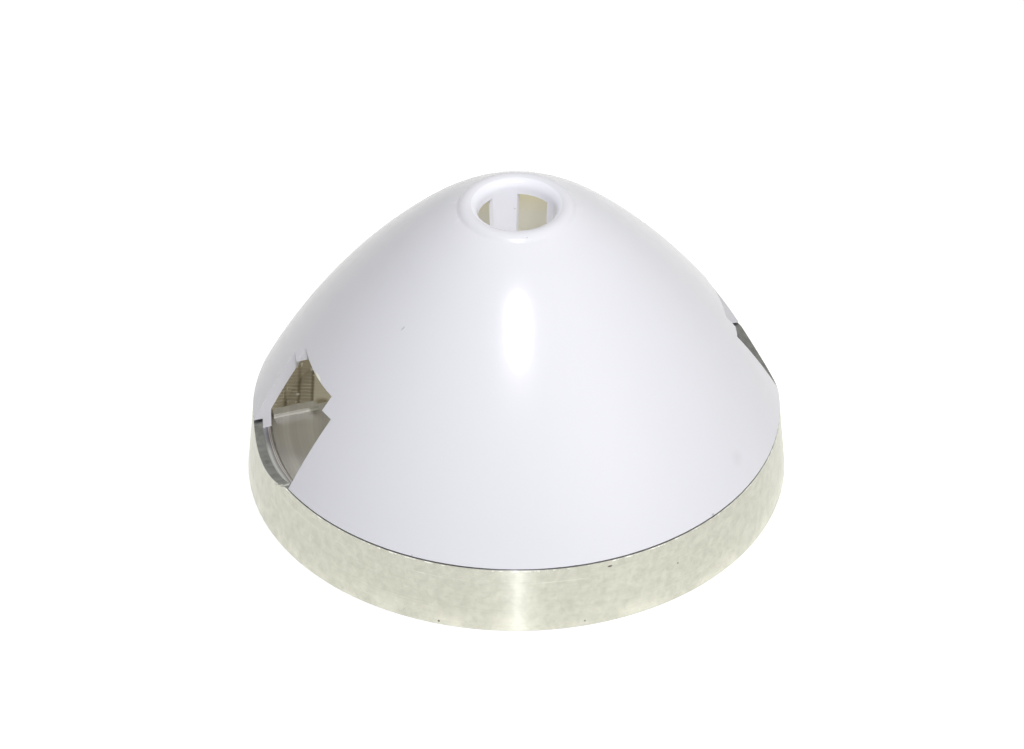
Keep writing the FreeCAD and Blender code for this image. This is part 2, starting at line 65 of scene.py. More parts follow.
camera_data = bpy.data.cameras.new("bench_camera")
camera_data.lens = LENS_LENGTH
camera_data.sensor_width = SENSOR_WIDTH
camera_data.clip_start = 0.05
camera_data.clip_end = 20
camera = bpy.data.objects.new("bench_camera", camera_data)
camera.location = aim + towards_camera * VIEW_DISTANCE
camera.rotation_mode = "QUATERNION"
camera.rotation_quaternion = (-towards_camera).to_track_quat("-Z", "Y")
bpy.context.scene.collection.objects.link(camera)
bpy.context.scene.camera = camera
bpy.context.scene.view_settings.view_transform = "Standard"


# ------------------------------------------------------------------ bench and light
# A plain white bench top in a white room. The daylight comes from a broad window high in
# front, one small lamp box makes the narrow gloss, and the right-hand wall glows softly.
def put(tree, kind, inputs=None, **settings):
    """Adds a shader node. An input is a plain value or another node's output."""
    made = tree.nodes.new(kind)
    for name, value in settings.items():
        setattr(made, name, value)
    for name, value in (inputs or {}).items():
        if isinstance(value, bpy.types.NodeSocket):
            tree.links.new(value, made.inputs[name])
        else:
            made.inputs[name].default_value = value
    return made


def calculate(tree, operation, first, second=0.0, clamp=False):
    """One Math node's output."""
    made = put(tree, "ShaderNodeMath", {0: first, 1: second}, operation=operation)
    made.use_clamp = clamp
    return made.outputs[0]


def times(tree, first, *others):
    """The product of two or more numbers or masks."""
    for other in others:
        first = calculate(tree, "MULTIPLY", first, other)
    return first


def mix_number(tree, factor, first, second):
    """A number Mix node; its number sockets are called A and B."""
    made = put(tree, "ShaderNodeMix", {"Factor": factor, "A": first, "B": second}, data_type="FLOAT")
    return made.outputs["Result"]


def mix_colour(tree, factor, first, second):
    """A colour Mix node; its colour sockets are numbers 6 and 7."""
    made = put(tree, "ShaderNodeMix", {0: factor, 6: first, 7: second}, data_type="RGBA")
    return made.outputs[2]


def new_material(name):
    material = bpy.data.materials.new(name)
    material.use_nodes = True
    material.node_tree.nodes.clear()
    return material, material.node_tree


def outward_way(turn, lift):
    """The direction to a place in the room: turn from the front, lift from the bench."""
    a, e = math.radians(turn), math.radians(lift)
    return Vector((math.sin(a) * math.cos(e), -math.cos(a) * math.cos(e), math.sin(e)))


def seen_directly(tree):
    """1 for what the camera sees itself, in a gloss or through a clear thing."""
    path = put(tree, "ShaderNodeLightPath")
    seen = calculate(tree, "MAXIMUM", path.outputs["Is Camera Ray"], path.outputs["Is Glossy Ray"])
    return calculate(tree, "MAXIMUM", seen, path.outputs["Is Transmission Ray"])


BENCH_SIZE = 6.0
BENCH_WHITE = (0.70, 0.70, 0.70, 1)
BENCH_LIFT = 0.55

bpy.ops.object.select_all(action="DESELECT")
bpy.ops.mesh.primitive_plane_add(size=BENCH_SIZE, location=(0, 0, 0))
bench = bpy.context.object
bench.name = "bench_top"
bench_material, tree = new_material("bench_white")
bench_diffuse = put(tree, "ShaderNodeBsdfDiffuse", {"Color": BENCH_WHITE})
bench_lift = put(tree, "ShaderNodeEmission", {
    "Color": (1, 1, 1, 1), "Strength": times(tree, seen_directly(tree), BENCH_LIFT)})
bench_sum = put(tree, "ShaderNodeAddShader", {0: bench_diffuse.outputs[0], 1: bench_lift.outputs[0]})
put(tree, "ShaderNodeOutputMaterial", {"Surface": bench_sum.outputs[0]})
bench.data.materials.append(bench_material)

ROOM_FILL = 0.05
WINDOW_WAY, WINDOW_TIGHTNESS = outward_way(32, 60), 4.0
WINDOW_LIGHT = 1.55
WINDOW_COLOUR = (1.0, 0.99, 0.91, 1)
WALL_IN_GLOSS = 0.93
WALL_COLOUR = (1.0, 1.0, 0.93, 1)
RIGHT_WALL_WAY, RIGHT_WALL_TIGHTNESS = outward_way(65, 12), 1.5
RIGHT_WALL_GLOW = 0.14
SOFT_SPOT_WAY, SOFT_SPOT_TIGHTNESS = outward_way(26, 25), 14.0
SOFT_SPOT_GLOW = 0.9

world = bpy.data.worlds.new("white_room")
bpy.context.scene.world = world
world.use_nodes = True
tree = world.node_tree
tree.nodes.clear()


def glow_towards(tree, way, tightness, strength):
    """Light from one place on the room's walls, strongest where a ray points straight at it."""
    ray = put(tree, "ShaderNodeTexCoord").outputs["Generated"]
    facing = put(tree, "ShaderNodeVectorMath", {0: ray, 1: way}, operation="DOT_PRODUCT")
    facing = calculate(tree, "MAXIMUM", facing.outputs["Value"], 0.0)
    return times(tree, calculate(tree, "POWER", facing, tightness), strength)


daylight = calculate(tree, "ADD", glow_towards(tree, WINDOW_WAY, WINDOW_TIGHTNESS, WINDOW_LIGHT), ROOM_FILL)
right_glow = glow_towards(tree, RIGHT_WALL_WAY, RIGHT_WALL_TIGHTNESS, RIGHT_WALL_GLOW)
soft_spot = glow_towards(tree, SOFT_SPOT_WAY, SOFT_SPOT_TIGHTNESS, SOFT_SPOT_GLOW)
in_gloss = calculate(tree, "ADD", calculate(tree, "ADD", right_glow, soft_spot), WALL_IN_GLOSS)
path = put(tree, "ShaderNodeLightPath")
camera_ray, glossy_ray = path.outputs["Is Camera Ray"], path.outputs["Is Glossy Ray"]
seen_strength = mix_number(tree, camera_ray, in_gloss, 1.0)
room_strength = mix_number(tree, seen_directly(tree), daylight, seen_strength)
room_colour = mix_colour(tree, glossy_ray, WINDOW_COLOUR, WALL_COLOUR)
room_colour = mix_colour(tree, camera_ray, room_colour, (1, 1, 1, 1))
room = put(tree, "ShaderNodeBackground", {"Color": room_colour, "Strength": room_strength})
put(tree, "ShaderNodeOutputWorld", {"Surface": room.outputs[0]})

LAMP_WAY = outward_way(-17.5, 55.5)
LAMP_DISTANCE = 1.0
LAMP_AIM = Vector((0, 0, 25 * MM))
LAMP_WIDTH, LAMP_HEIGHT = 0.02, 0.045
LAMP_POWER = 5.0

lamp_data = bpy.data.lights.new("front_lamp", "AREA")
lamp_data.shape = "RECTANGLE"
lamp_data.size, lamp_data.size_y = LAMP_WIDTH, LAMP_HEIGHT
lamp_data.energy = LAMP_POWER
lamp = bpy.data.objects.new("front_lamp", lamp_data)
lamp.location = LAMP_AIM + LAMP_WAY * LAMP_DISTANCE
lamp.rotation_mode = "QUATERNION"
lamp.rotation_quaternion = (-LAMP_WAY).to_track_quat("-Z", "Y")
bpy.context.scene.collection.objects.link(lamp)


# ------------------------------------------------------------------ back plate
# Aluminium, turned from bar and then milled: the outside keeps fine turning lines, the seat
# and the scallops are milled grey, and the pocket floors are left rough from the cutter.
def new_group(name, takes, gives):
    """An empty node group with its sockets; returns it, what it takes and its end node."""
    group = bpy.data.node_groups.new(name, "ShaderNodeTree")
    for label, kind, value in takes:
        socket = group.interface.new_socket(name=label, in_out="INPUT", socket_type=kind)
        if value is not None:
            socket.default_value = value
    group.interface.new_socket(name=gives, in_out="OUTPUT", socket_type="NodeSocketFloat")
    return group, group.nodes.new("NodeGroupInput").outputs, group.nodes.new("NodeGroupOutput")


NUMBER, PLACE = "NodeSocketFloat", "NodeSocketVector"

# fine rings left by a turning tool along one direction of the piece, so many to a millimetre
RING_WANDER = 0.6 * MM
rings_group, taken, end = new_group(
    "turning_rings", [("Along", NUMBER, 0.0), ("Lines", NUMBER, 3.0), ("Point", PLACE, None)], "Height")
wander = put(rings_group, "ShaderNodeTexNoise", {"Vector": taken["Point"], "Scale": 25.0, "Detail": 2.0})
wandered = times(rings_group, wander.outputs[0], RING_WANDER)
line_place = calculate(rings_group, "ADD", taken["Along"], wandered)
line_place = times(rings_group, line_place, 1 / MM, taken["Lines"])
lines = put(rings_group, "ShaderNodeTexNoise", {
    "W": line_place, "Scale": 1.0, "Detail": 4.0, "Roughness": 0.7}, noise_dimensions="1D")
rings_group.links.new(lines.outputs[0], end.inputs["Height"])

# a soft-edged step: 0 below the place, 1 above it
step_group, taken, end = new_group(
    "soft_step", [("Value", NUMBER, 0.0), ("Place", NUMBER, 0.0), ("Softness", NUMBER, 0.2 * MM)], "Mask")
over = calculate(step_group, "SUBTRACT", taken["Value"], taken["Place"])
over = calculate(step_group, "DIVIDE", over, taken["Softness"])
over = calculate(step_group, "ADD", over, 0.5, clamp=True)
step_group.links.new(over, end.inputs["Mask"])

# blotches: pale oxide, mottling and broken lines
blotch_group, taken, end = new_group(
    "blotches",
    [("Point", PLACE, None), ("Scale", NUMBER, 60.0), ("Cover", NUMBER, 0.5), ("Softness", NUMBER, 0.15)],
    "Mask")
cloud = put(blotch_group, "ShaderNodeTexNoise", {
    "Vector": taken["Point"], "Scale": taken["Scale"], "Detail": 6.0, "Roughness": 0.62, "Distortion": 0.4})
bare = calculate(blotch_group, "SUBTRACT", 1.0, taken["Cover"])
above = calculate(blotch_group, "SUBTRACT", cloud.outputs[0], bare)
above = calculate(blotch_group, "DIVIDE", above, taken["Softness"])
above = calculate(blotch_group, "ADD", above, 0.5, clamp=True)
blotch_group.links.new(above, end.inputs["Mask"])

# scattered specks or pits of one size, in a share of the cells
SPECK_EDGE = 0.4
speck_group, taken, end = new_group(
    "specks",
    [("Point", PLACE, None), ("Scale", NUMBER, 300.0), ("Size", NUMBER, 0.15), ("Share", NUMBER, 0.2)],
    "Mask")
cells = put(speck_group, "ShaderNodeTexVoronoi", {"Vector": taken["Point"], "Scale": taken["Scale"]})
chance = put(speck_group, "ShaderNodeSeparateColor", {"Color": cells.outputs["Color"]}).outputs[0]
kept = calculate(speck_group, "LESS_THAN", chance, taken["Share"])
near = calculate(speck_group, "SUBTRACT", taken["Size"], cells.outputs["Distance"])
near = calculate(speck_group, "DIVIDE", near, times(speck_group, taken["Size"], SPECK_EDGE))
near = calculate(speck_group, "ADD", near, 0.0, clamp=True)
speck_group.links.new(times(speck_group, near, kept), end.inputs["Mask"])

# one mark at one place, as long or as flat as its three half sizes say
mark_group, taken, end = new_group(
    "one_mark",
    [("Point", PLACE, None), ("Place", PLACE, None), ("Half sizes", PLACE, None), ("Softness", NUMBER, 0.4)],
    "Mask")
offset = put(mark_group, "ShaderNodeVectorMath", {0: taken["Point"], 1: taken["Place"]}, operation="SUBTRACT")
scaled = put(mark_group, "ShaderNodeVectorMath", {
    0: offset.outputs[0], 1: taken["Half sizes"]}, operation="DIVIDE")
reach = put(mark_group, "ShaderNodeVectorMath", {0: scaled.outputs[0]}, operation="LENGTH")
inside = calculate(mark_group, "SUBTRACT", 1.0, reach.outputs["Value"])
inside = calculate(mark_group, "DIVIDE", inside, taken["Softness"])
inside = calculate(mark_group, "ADD", inside, 0.0, clamp=True)
mark_group.links.new(inside, end.inputs["Mask"])


def use_group(tree, group, inputs):
    """Places a node group and returns its one output."""
    return put(tree, "ShaderNodeGroup", inputs, node_tree=group).outputs[0]


def soft_step(tree, value, place, softness):
    """1 where the value is past the place, 0 before it, with a soft edge."""
    return use_group(tree, step_group, {"Value": value, "Place": place, "Softness": softness})


def blotches(tree, point, scale, softness, cover=0.5):
    """Cloudy patches that cover about this share of the surface."""
    return use_group(tree, blotch_group, {
        "Point": point, "Scale": scale, "Cover": cover, "Softness": softness})


def one_mark(tree, point, place_and_half_sizes, softness):
    """One mark; its place and half sizes are in millimetres."""
    place, half_sizes = ([v * MM for v in triple] for triple in place_and_half_sizes)
    return use_group(tree, mark_group, {
        "Point": point, "Place": place, "Half sizes": half_sizes, "Softness": softness})


def within(tree, value, low, high):
    """1 where the value lies between the two, without a soft edge."""
    return times(tree, calculate(tree, "GREATER_THAN", value, low), calculate(tree, "LESS_THAN", value, high))


def dress(node_name, material):
    """Gives a CAD node one material."""
    slots = nodes[node_name].data.materials
    slots.clear()
    slots.append(material)


# a face is upright where its normal rises less than the first, and looks along the rails'
# short way where its normal's part along y is more than the second
UPRIGHT_LIMIT = 0.3
FACES_Y_LIMIT = 0.7
PLATE_RIM = 48.4 * MM
SEAT_TOP = 10.0 * MM
JUST_OVER_SEAT = SEAT_TOP + 0.1 * MM
BRIDGE_SIDE = 14.4 * MM
POCKET_SIDE = 15.7 * MM
POCKET_RIM = 45.5 * MM
POCKET_FOOT = 1.0 * MM

plate_material, tree = new_material("turned_aluminium")
where = put(tree, "ShaderNodeTexCoord")
point = where.outputs["Object"]
apart = put(tree, "ShaderNodeSeparateXYZ", {0: point})
height = apart.outputs["Z"]
aside = calculate(tree, "ABSOLUTE", apart.outputs["Y"])
flat = put(tree, "ShaderNodeCombineXYZ", {"X": apart.outputs["X"], "Y": apart.outputs["Y"]})
radius = put(tree, "ShaderNodeVectorMath", {0: flat.outputs[0]}, operation="LENGTH").outputs["Value"]
facing = put(tree, "ShaderNodeSeparateXYZ", {0: where.outputs["Normal"]})

# the turned outside: fine rings over a mottled grey, pale oxide near the foot and a few pits
TURNED_COLOUR = (0.52, 0.52, 0.455, 1)
TURNED_PALE = (0.65, 0.65, 0.58, 1)
TURNED_DARK = (0.42, 0.42, 0.36, 1)
TURNED_LINE_STRENGTH = 0.45
STAIN_COLOUR = (0.84, 0.83, 0.74, 1)
STAIN_TOP = 3.0 * MM
STAIN_STRENGTH = 0.5
PIT_COLOUR = (0.18, 0.17, 0.14, 1)
NICK_COLOUR = (0.13, 0.12, 0.10, 1)
RING_NICKS = (
    ((1.3, -48.9, 12.0), (0.55, 0.3, 0.22)), ((-28.5, -41.0, 0.9), (0.25, 0.25, 0.25)),
    ((15.0, -47.0, 7.7), (0.2, 0.2, 0.2)), ((20.4, -45.0, 11.6), (0.3, 0.3, 0.15)))

upright = calculate(tree, "LESS_THAN", calculate(tree, "ABSOLUTE", facing.outputs["Z"]), UPRIGHT_LIMIT)
outer_band = times(tree, soft_step(tree, radius, PLATE_RIM, softness=0.1 * MM), upright)
band_lines = use_group(tree, rings_group, {"Along": height, "Lines": 3.2, "Point": point})
mottle = blotches(tree, point, scale=620.0, softness=0.4)
turned = mix_colour(tree, mottle, TURNED_COLOUR, TURNED_PALE)
low_down = calculate(tree, "SUBTRACT", 1.0, soft_step(tree, height, STAIN_TOP, STAIN_TOP))
stains = times(tree, blotches(tree, point, scale=150.0, softness=0.2), low_down, STAIN_STRENGTH)
turned = mix_colour(tree, stains, turned, STAIN_COLOUR)
turned = mix_colour(tree, times(tree, band_lines, TURNED_LINE_STRENGTH), turned, TURNED_DARK)
pits = use_group(tree, speck_group, {"Point": point, "Scale": 260.0, "Size": 0.07, "Share": 0.08})
turned = mix_colour(tree, pits, turned, PIT_COLOUR)

# a painted highlight along the upper edge where it catches the lamp, broken into dashes, and one scribed
# groove below it
GLINT_FROM = 12.9 * MM
GLINT_STRENGTH = 0.7
GROOVE_HEIGHT = 10.5 * MM
GROOVE_HALF_WIDTH, GROOVE_SOFTNESS = 0.09 * MM, 0.08 * MM
GROOVE_STRENGTH = 0.35
GLINT_AND_GROOVE_COLOUR = (0.97, 0.96, 0.92, 1)

glint = times(tree, calculate(tree, "GREATER_THAN", height, GLINT_FROM),
              blotches(tree, point, scale=800.0, softness=0.15, cover=0.44), GLINT_STRENGTH)
off_groove = calculate(tree, "ABSOLUTE", calculate(tree, "SUBTRACT", height, GROOVE_HEIGHT))
beside_groove = soft_step(tree, off_groove, GROOVE_HALF_WIDTH, GROOVE_SOFTNESS)
groove = times(tree, calculate(tree, "SUBTRACT", 1.0, beside_groove),
               blotches(tree, point, scale=90.0, softness=0.25, cover=0.42), GROOVE_STRENGTH)
# the painted edge highlight and the pale scribed groove share one colour
turned = mix_colour(tree, calculate(tree, "MAXIMUM", glint, groove), turned, GLINT_AND_GROOVE_COLOUR)
nicks = 0.0
for nick in RING_NICKS:
    nicks = calculate(tree, "MAXIMUM", one_mark(tree, point, nick, softness=0.4), nicks)
turned = mix_colour(tree, nicks, turned, NICK_COLOUR)

# the milled seat: grey with faint arcs; in the scallops and on the rim above the seat a darker painted shade
# with a random mottle
MILLED_COLOUR = (0.58, 0.565, 0.56, 1)
MILLED_PALE = (0.76, 0.75, 0.73, 1)
SCALLOP_FROM = POCKET_RIM - 0.3 * MM
SCALLOP_SHADE_COLOUR = (0.24, 0.245, 0.245, 1)
SCALLOP_SHADE_PALE = (0.40, 0.405, 0.41, 1)

face_lines = use_group(tree, rings_group, {"Along": radius, "Lines": 2.2, "Point": point})
broad_lines = use_group(tree, rings_group, {"Along": radius, "Lines": 0.4, "Point": point})
arcs = calculate(tree, "ADD", times(tree, face_lines, 0.5),
                 times(tree, soft_step(tree, broad_lines, place=0.5, softness=0.3), 0.5))
milled = mix_colour(tree, arcs, MILLED_COLOUR, MILLED_PALE)
over_seat = calculate(tree, "GREATER_THAN", height, JUST_OVER_SEAT)
in_scallop = times(tree, calculate(tree, "GREATER_THAN", radius, SCALLOP_FROM), over_seat)
# painted shade in the scallops and on the rim above the seat, mottled at random
milled = mix_colour(tree, in_scallop, milled, mix_colour(tree, mottle, SCALLOP_SHADE_COLOUR, SCALLOP_SHADE_PALE))

# the shelf that the cone stands on: bands from its inner to its outer edge, the bright ones painted
# highlights and the dark ones painted shade
SHELF_TOP = 11.4 * MM
SHELF_INNER, SHELF_OUTER = 45.3 * MM, 47.3 * MM
SHELF_MARGIN = 0.05 * MM
SHELF_HALF_HEIGHT = 0.3 * MM
SHELF_LIGHT_AND_SHADE_BANDS = (
    (0.00, (0.34, 0.32, 0.31)), (0.20, (0.32, 0.30, 0.29)), (0.26, (0.80, 0.75, 0.75)),
    (0.34, (0.38, 0.35, 0.35)), (0.41, (0.80, 0.76, 0.77)), (0.50, (0.32, 0.31, 0.32)),
    (0.64, (0.52, 0.52, 0.54)), (0.80, (0.74, 0.75, 0.77)), (1.00, (0.50, 0.50, 0.52)))

across_shelf = put(tree, "ShaderNodeMapRange", {
    "Value": radius, "From Min": SHELF_INNER, "From Max": SHELF_OUTER}).outputs[0]
bands = put(tree, "ShaderNodeValToRGB", {0: across_shelf})
while len(bands.color_ramp.elements) < len(SHELF_LIGHT_AND_SHADE_BANDS):
    bands.color_ramp.elements.new(0.5)
for element, (place, shade) in zip(bands.color_ramp.elements, SHELF_LIGHT_AND_SHADE_BANDS):
    element.position = place
    element.color = (*shade, 1)
on_shelf = times(
    tree, within(tree, height, SHELF_TOP - SHELF_HALF_HEIGHT, SHELF_TOP + SHELF_HALF_HEIGHT),
    within(tree, radius, SHELF_INNER - SHELF_MARGIN, SHELF_OUTER - SHELF_MARGIN))
# the shelf's painted highlights and painted shade
milled = mix_colour(tree, on_shelf, milled, bands.outputs[0])

# the low rails' front faces: a painted highlight along the foot, where the corner with the seat catches the
# light
RAIL_HALF_WAY = SEAT_TOP + 0.5 * MM
RAIL_SOFTNESS = 0.2 * MM
RAIL_FADE = 0.8
RAIL_HIGHLIGHT_COLOUR = (0.88, 0.88, 0.87, 1)

faces_along_y = calculate(
    tree, "GREATER_THAN", calculate(tree, "ABSOLUTE", facing.outputs["Y"]), FACES_Y_LIMIT)
rail_front = times(tree, over_seat, faces_along_y, calculate(tree, "LESS_THAN", aside, BRIDGE_SIDE))
up_the_rail = soft_step(tree, height, RAIL_HALF_WAY, RAIL_SOFTNESS)
rail_foot = calculate(tree, "SUBTRACT", 1.0, times(tree, up_the_rail, RAIL_FADE))
# painted highlight along the rails' foot
milled = mix_colour(tree, times(tree, rail_front, rail_foot), milled, RAIL_HIGHLIGHT_COLOUR)

# the pockets: at both ends the cutter left rough rows, with painted shade between its paths that is deepest
# low down, painted highlights on the row crests and painted sparkles beside the paths; the rest is smooth,
# painted near white for the light that reaches it, with one corner in painted shade
POCKET_COLOUR = (0.66, 0.61, 0.52, 1)
SMOOTH_POCKET_LIT_COLOUR = (0.98, 0.95, 0.85, 1)
POCKET_PATH_SHADE = (0.34, 0.29, 0.22, 1)
POCKET_CREST_HIGHLIGHT = (1.0, 0.98, 0.93, 1)
CORNER_SHADE_COLOUR, CORNER_SHADE_STRENGTH = (0.40, 0.35, 0.24, 1), 0.75
POCKET_CORNER = ((-30.7, 23.2, 4.0), (1.9, 2.0, 2.5))
CUTTER_ACROSS = (0.948, -0.317, 0.0)
CUTTER_ALONG = (0.192, 0.575, 0.795)
CUTTER_STEP, CUTTER_START, CUTTER_SHAKE = 2.55 * MM, 2.47 * MM, 0.14
ROW_STEP, ROW_SHAKE = 0.63 * MM, 0.9
ROUGH_FROM = 38.1 * MM
ROWS_FADE_FROM, ROWS_FADE_TO = 29.0 * MM, 34.0 * MM
WALL_FOOT, WALL_HALF_WAY = 4.5 * MM, 8.0 * MM

in_pocket = times(tree, calculate(tree, "GREATER_THAN", aside, POCKET_SIDE),
                  calculate(tree, "LESS_THAN", radius, POCKET_RIM),
                  calculate(tree, "GREATER_THAN", height, POCKET_FOOT))
wobble = put(tree, "ShaderNodeTexNoise", {"Vector": point, "Scale": 420.0, "Detail": 2.0}).outputs[0]


def distance_along(direction):
    """How far a point of the plate lies along a direction from the middle."""
    product = put(tree, "ShaderNodeVectorMath", {0: point, 1: direction}, operation="DOT_PRODUCT")
    return product.outputs["Value"]


def cutter_path(direction, step, start, shake):
    """Where a point lies between two passes of the cutter: 0.5 on the line between them."""
    passes = calculate(tree, "DIVIDE", calculate(tree, "ADD", distance_along(direction), start), step)
    passes = calculate(tree, "ADD", passes, times(tree, wobble, shake))
    return calculate(tree, "ABSOLUTE", calculate(tree, "SUBTRACT", calculate(tree, "FRACT", passes), 0.5))


off_middle = calculate(tree, "ABSOLUTE", distance_along(CUTTER_ACROSS))
rough_end = soft_step(tree, off_middle, ROUGH_FROM, softness=0.3 * MM)
column = cutter_path(CUTTER_ACROSS, CUTTER_STEP, CUTTER_START, CUTTER_SHAKE)
row = cutter_path(CUTTER_ALONG, ROW_STEP, 0.0, ROW_SHAKE)
between = soft_step(tree, column, place=0.40, softness=0.16)
rows_left = put(tree, "ShaderNodeMapRange", {
    "Value": aside, "From Min": ROWS_FADE_FROM, "From Max": ROWS_FADE_TO, "To Min": 1.0, "To Max": 0.2})
# painted highlights on the crests of the cutter rows
crest = times(tree, soft_step(tree, row, place=0.36, softness=0.2),
              blotches(tree, point, scale=260.0, softness=0.3), rows_left.outputs[0])
rough_floor = mix_colour(tree, crest, POCKET_COLOUR, POCKET_CREST_HIGHLIGHT)
# painted shade between the cutter paths, deepest low in the pocket
path_shade_depth = put(tree, "ShaderNodeMapRange", {
    "Value": height, "From Min": WALL_FOOT, "From Max": WALL_HALF_WAY, "To Min": 0.8, "To Max": 0.3})
rough_floor = mix_colour(tree, times(tree, between, path_shade_depth.outputs[0]), rough_floor, POCKET_PATH_SHADE)
# painted sparkles: white specks beside the cutter paths
painted_sparkles = times(
    tree, use_group(tree, speck_group, {"Point": point, "Scale": 900.0, "Size": 0.45, "Share": 0.5}),
    soft_step(tree, column, place=0.26, softness=0.1), rough_end)
rough_floor = mix_colour(tree, painted_sparkles, rough_floor, (1, 1, 1, 1))
# the smooth part of the pocket is painted near white, standing in for the lamp light that comes in through
# the opening
pocket_floor = mix_colour(tree, rough_end, SMOOTH_POCKET_LIT_COLOUR, rough_floor)
# one corner of the pocket in painted shade
corner = times(tree, one_mark(tree, point, POCKET_CORNER, softness=0.5), CORNER_SHADE_STRENGTH)
pocket_floor = mix_colour(tree, corner, pocket_floor, CORNER_SHADE_COLOUR)

# all together; a painted sparkle is white and not metallic, and the upper flanks of the turning grooves are a
# thin gloss of their own that catches the lamp all the way down the ring
MILLED_ROUGHNESS, TURNED_ROUGHNESS, POCKET_ROUGHNESS = 0.45, 0.25, 0.5
TURNED_RELIEF = 0.25
FLANK_SLOPE = 1.05
FLANK_ROUGHNESS = 0.17
FLANK_GLOSS = 0.035

colour = mix_colour(tree, outer_band, milled, turned)
colour = mix_colour(tree, in_pocket, colour, pocket_floor)
metal = calculate(tree, "SUBTRACT", 1.0, times(tree, painted_sparkles, in_pocket))
roughness = mix_number(tree, outer_band, MILLED_ROUGHNESS, TURNED_ROUGHNESS)
roughness = mix_number(tree, in_pocket, roughness, POCKET_ROUGHNESS)
pocket_relief = calculate(tree, "SUBTRACT", crest, between)
relief = mix_number(tree, in_pocket, times(tree, band_lines, TURNED_RELIEF), pocket_relief)
bump = put(tree, "ShaderNodeBump", {"Strength": 0.5, "Distance": 0.12 * MM, "Height": relief})
grain_way = put(tree, "ShaderNodeTangent", direction_type="RADIAL", axis="Z")
flank_way = put(tree, "ShaderNodeVectorMath", {
    0: where.outputs["Normal"], 1: (0.0, 0.0, FLANK_SLOPE)}, operation="ADD")
flank_way = put(tree, "ShaderNodeVectorMath", {0: flank_way.outputs[0]}, operation="NORMALIZE")
flank_gloss = times(tree, calculate(tree, "ADD", 0.5, band_lines), outer_band, FLANK_GLOSS)
shader = put(tree, "ShaderNodeBsdfPrincipled", {
    "Base Color": colour, "Metallic": metal, "Roughness": roughness,
    "Anisotropic": 1.0, "Anisotropic Rotation": 0.25, "Tangent": grain_way.outputs[0],
    "Normal": bump.outputs[0], "Coat Weight": flank_gloss, "Coat Roughness": FLANK_ROUGHNESS,
    "Coat Normal": flank_way.outputs[0]})
put(tree, "ShaderNodeOutputMaterial", {"Surface": shader.outputs[0]})
dress("back_plate", plate_material)


# ------------------------------------------------------------------ spinner cone
# One white moulding with a polished skin: shell, rolled inlet and the windowed tube below
# it. The blade openings were cut afterwards and left with plain edges.
SKIN_COLOUR = (0.785, 0.79, 0.88, 1)
SKIN_ROUGHNESS = 0.22
SPECK_COLOUR = (0.35, 0.33, 0.36, 1)
INNER_COLOUR = (0.62, 0.61, 0.56, 1)
INNER_NOSE_COLOUR = (0.60, 0.58, 0.45, 1)
DARK_MARKS = (
    ((-1.4, -10.1, 58.7), (0.16, 0.16, 0.16)), ((1.9, 6.6, 52.9), (0.22, 0.22, 0.16)),
    ((-32.1, -36.7, 13.6), (0.18, 0.18, 0.5)), ((23.1, -42.9, 13.7), (0.42, 0.42, 0.35)),
    ((-25.1, -10.7, 44.4), (0.6, 0.14, 0.7)))
DARK_MARK_COLOUR, DARK_MARK_STRENGTH = (0.22, 0.21, 0.24, 1), 0.45
FAINT_MARK = ((30.7, -34.4, 18.5), (2.0, 2.0, 2.0))
FAINT_MARK_COLOUR, FAINT_MARK_STRENGTH = (0.45, 0.45, 0.48, 1), 0.12
CHIP_WITH_HIGHLIGHT = ((-38.6, -1.9, 30.2), (1.2, 1.6, 0.5))
CHIP_HIGHLIGHT_COLOUR = (1.0, 1.0, 0.93, 1)

# painted light: a weak glow standing in for the light that comes through the thin wall, on the wall's inside,
# inside the tube and on the outside of the round bead
WALL_GLOW = (0.25, 0.245, 0.225, 1)
NOSE_GLOW = (0.25, 0.235, 0.165, 1)
TUBE_GLOW = (0.115, 0.115, 0.13, 1)
BEAD_GLOW = (0.02, 0.02, 0.02, 1)
NO_GLOW = (0, 0, 0, 1)
NOSE_FROM, NOSE_SOFTNESS = 36.0 * MM, 10.0 * MM
BEAD_FROM, BEAD_SOFTNESS = 57.0 * MM, 2.5 * MM
TUBE_REACH = 9.6 * MM
LOOKS_IN_LIMIT = -0.4

cone_material, tree = new_material("white_moulding")
where = put(tree, "ShaderNodeTexCoord")
point = where.outputs["Object"]
apart = put(tree, "ShaderNodeSeparateXYZ", {0: point})
height = apart.outputs["Z"]
flat = put(tree, "ShaderNodeCombineXYZ", {"X": apart.outputs["X"], "Y": apart.outputs["Y"]})
radius = put(tree, "ShaderNodeVectorMath", {0: flat.outputs[0]}, operation="LENGTH").outputs["Value"]
away = put(tree, "ShaderNodeVectorMath", {0: flat.outputs[0]}, operation="NORMALIZE")
outward = put(tree, "ShaderNodeVectorMath", {
    0: away.outputs[0], 1: where.outputs["Normal"]}, operation="DOT_PRODUCT")
looks_in = calculate(tree, "LESS_THAN", outward.outputs["Value"], LOOKS_IN_LIMIT)
inner_side = times(tree, looks_in, calculate(tree, "GREATER_THAN", radius, TUBE_REACH))
in_tube = times(tree, looks_in, calculate(tree, "LESS_THAN", radius, TUBE_REACH))
up_in_nose = soft_step(tree, height, NOSE_FROM, NOSE_SOFTNESS)
round_bead = soft_step(tree, height, BEAD_FROM, BEAD_SOFTNESS)

specks = use_group(tree, speck_group, {"Point": point, "Scale": 120.0, "Size": 0.035, "Share": 0.12})
skin = mix_colour(tree, specks, SKIN_COLOUR, SPECK_COLOUR)
for mark in DARK_MARKS:
    there = times(tree, one_mark(tree, point, mark, softness=0.5), DARK_MARK_STRENGTH)
    skin = mix_colour(tree, there, skin, DARK_MARK_COLOUR)
there = times(tree, one_mark(tree, point, FAINT_MARK, softness=0.9), FAINT_MARK_STRENGTH)
skin = mix_colour(tree, there, skin, FAINT_MARK_COLOUR)
